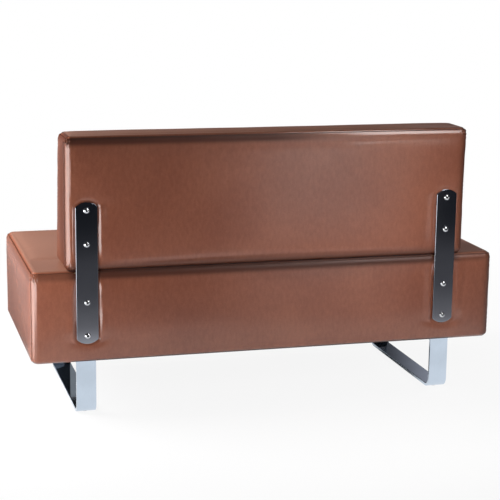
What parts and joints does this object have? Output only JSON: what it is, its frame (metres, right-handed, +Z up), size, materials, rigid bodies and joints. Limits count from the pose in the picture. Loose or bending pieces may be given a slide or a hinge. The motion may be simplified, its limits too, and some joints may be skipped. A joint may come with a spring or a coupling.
{
  "type": "waiting sofa",
  "caption": "Armless waiting sofa: leather seat box on flat-bar sled legs, wedge backrest held by two screwed steel straps at the rear.",
  "frame": {"origin": "on the floor, under the middle of the whole sofa's box", "axes": "+X along the sofa to its left end, +Y to the rear, +Z up"},
  "size_m": [1.31, 0.5914, 0.7519],
  "materials": {
    "leather": "semi-gloss brown leather with a fine grain",
    "leg_chrome": "bright chromed flat bar",
    "strap_chrome": "dark chromed flat bar with polished bevels",
    "screw_chrome": "bright chromed screw heads",
    "zinc": "zinc-plated fasteners",
    "timber": "planed softwood",
    "plywood": "unfinished plywood",
    "foam": "open-cell upholstery foam",
    "base_cloth": "black non-woven cloth",
    "glide": "dark matte plastic"
  },
  "bodies": {
    "root": {"leg_left": "leg_chrome", "leg_right": "leg_chrome", "leg_plate_left": "leg_chrome", "leg_plate_right": "leg_chrome", "leg_welds": "leg_chrome", "floor_glides": "glide", "leg_bolts": "zinc", "leg_washers": "zinc", "leg_tee_nuts": "zinc", "seat_front_rail": "timber", "seat_rear_rail": "timber", "seat_end_left": "timber", "seat_end_right": "timber", "seat_centre_rail": "timber", "leg_bearer_left": "timber", "leg_bearer_right": "timber", "seat_corner_blocks": "timber", "seat_frame_screws": "zinc", "seat_deck": "plywood", "seat_foam": "foam", "seat_wrap": "foam", "seat_cover": "leather", "seat_dust_cover": "base_cloth", "dust_cover_staples": "zinc", "back_rear_board": "plywood", "back_ribs": "plywood", "back_top_rail": "plywood", "back_foot_rail": "plywood", "back_front_panel": "plywood", "back_frame_screws": "zinc", "back_foam": "foam", "back_rear_pad": "foam", "back_top_pad": "foam", "back_end_pads": "foam", "back_cover": "leather", "back_closing_cloth": "base_cloth", "strap_left": "strap_chrome", "strap_right": "strap_chrome", "strap_screws": "screw_chrome", "strap_tee_nuts": "zinc"}
  },
  "joints": []
}
